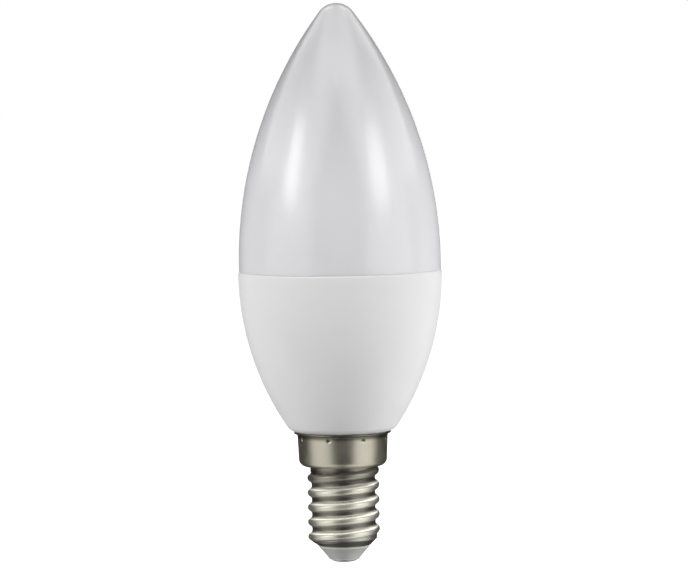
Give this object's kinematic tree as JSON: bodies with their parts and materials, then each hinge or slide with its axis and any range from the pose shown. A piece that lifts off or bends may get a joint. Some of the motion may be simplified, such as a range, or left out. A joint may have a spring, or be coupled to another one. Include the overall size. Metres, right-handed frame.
{
  "type": "candle bulb",
  "caption": "Candle-shaped lamp with a milky diffuser on a white tapered housing, closed by a nickel screw cap with a rolled thread, a white insulator and a centre contact.",
  "frame": {"origin": "centre of the centre contact's flat, the lamp's lowest point when it stands cap down", "axes": "+Z along the lamp's axis, from the cap to the diffuser's tip; the part is round about Z, and the picture looks along +Y with +X to the right"},
  "size_m": [0.039, 0.039, 0.107],
  "materials": {
    "milky_plastic": "satin",
    "white_plastic": "satin",
    "nickel_plate": "polished",
    "insulator_plastic": "gloss",
    "contact_metal": "satin"
  },
  "bodies": {
    "root": {"diffuser": "milky_plastic", "housing": "white_plastic", "cap_shell": "nickel_plate", "cap_insulator": "insulator_plastic", "centre_contact": "contact_metal"}
  },
  "joints": []
}
